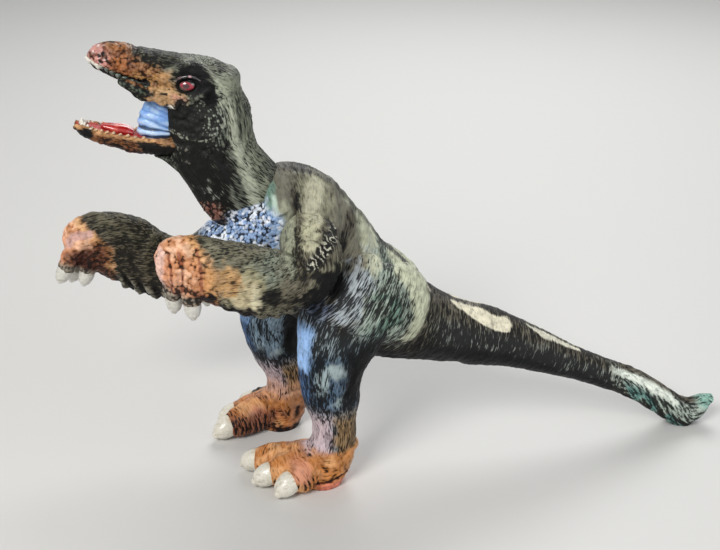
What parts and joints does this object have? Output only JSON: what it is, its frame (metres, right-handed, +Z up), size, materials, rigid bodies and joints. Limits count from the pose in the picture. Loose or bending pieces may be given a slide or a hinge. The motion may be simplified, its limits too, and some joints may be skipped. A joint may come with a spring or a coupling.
{
  "type": "toy dinosaur figure",
  "caption": "Standing feathered dinosaur toy with a hinged open jaw, swivelling arms, clawed hands and feet, and a long tail that rests on the table.",
  "frame": {"origin": "middle of the figure's bounding box, on the table under the soles and the tail tip", "axes": "+X towards the tail, so the head looks along -X; +Y towards the figure's right side; +Z up"},
  "size_m": [0.209, 0.0624, 0.1337],
  "materials": {
    "painted_skin": "painted soft plastic, dark wash over grey and cream strokes",
    "painted_jaw": "painted soft plastic, orange brown",
    "painted_legs": "painted soft plastic, dark blue thighs and orange feet",
    "painted_hands": "painted soft plastic, dark feathered forearms and orange hands",
    "claw_ivory": "satin ivory paint",
    "mouth_red": "gloss red paint",
    "mouth_blue": "gloss light blue paint",
    "tooth_white": "satin white paint",
    "eye_red": "gloss red with a dark pupil",
    "swivel_peg": "plain moulded plastic",
    "pin_steel": "bare steel wire"
  },
  "bodies": {
    "figure": {"torso": "painted_skin", "tail": "painted_skin", "head_and_neck": "painted_skin", "upper_teeth": "tooth_white", "jaw_hinge_pin": "pin_steel", "left_eye": "eye_red", "right_eye": "eye_red", "left_leg": "painted_legs", "right_leg": "painted_legs", "left_inner_toe_claw": "claw_ivory", "left_middle_toe_claw": "claw_ivory", "left_outer_toe_claw": "claw_ivory", "right_inner_toe_claw": "claw_ivory", "right_middle_toe_claw": "claw_ivory", "right_outer_toe_claw": "claw_ivory"},
    "jaw": {"lower_jaw": "painted_jaw", "tongue": "mouth_red", "mouth_membrane": "mouth_blue", "lower_teeth": "tooth_white"},
    "left_arm_swivel": {"left_arm": "painted_hands", "left_shoulder_peg": "swivel_peg", "left_inner_hand_claw": "claw_ivory", "left_middle_hand_claw": "claw_ivory", "left_outer_hand_claw": "claw_ivory"},
    "right_arm_swivel": {"right_arm": "painted_hands", "right_shoulder_peg": "swivel_peg", "right_inner_hand_claw": "claw_ivory", "right_middle_hand_claw": "claw_ivory", "right_outer_hand_claw": "claw_ivory"}
  },
  "joints": [
    {"name": "jaw_hinge", "type": "hinge", "parent": "figure", "child": "jaw", "pos_m": [-0.05617, 0.00124, 0.1075], "axis": [0, 1, 0], "range_deg": [-3, 20]},
    {"name": "left_shoulder", "type": "hinge", "parent": "figure", "child": "left_arm_swivel", "pos_m": [-0.02917, -0.01296, 0.079], "axis": [0, 1, 0], "range_deg": [-25, 50]},
    {"name": "right_shoulder", "type": "hinge", "parent": "figure", "child": "right_arm_swivel", "pos_m": [-0.02917, 0.01544, 0.079], "axis": [0, 1, 0], "range_deg": [-8, 50]}
  ]
}
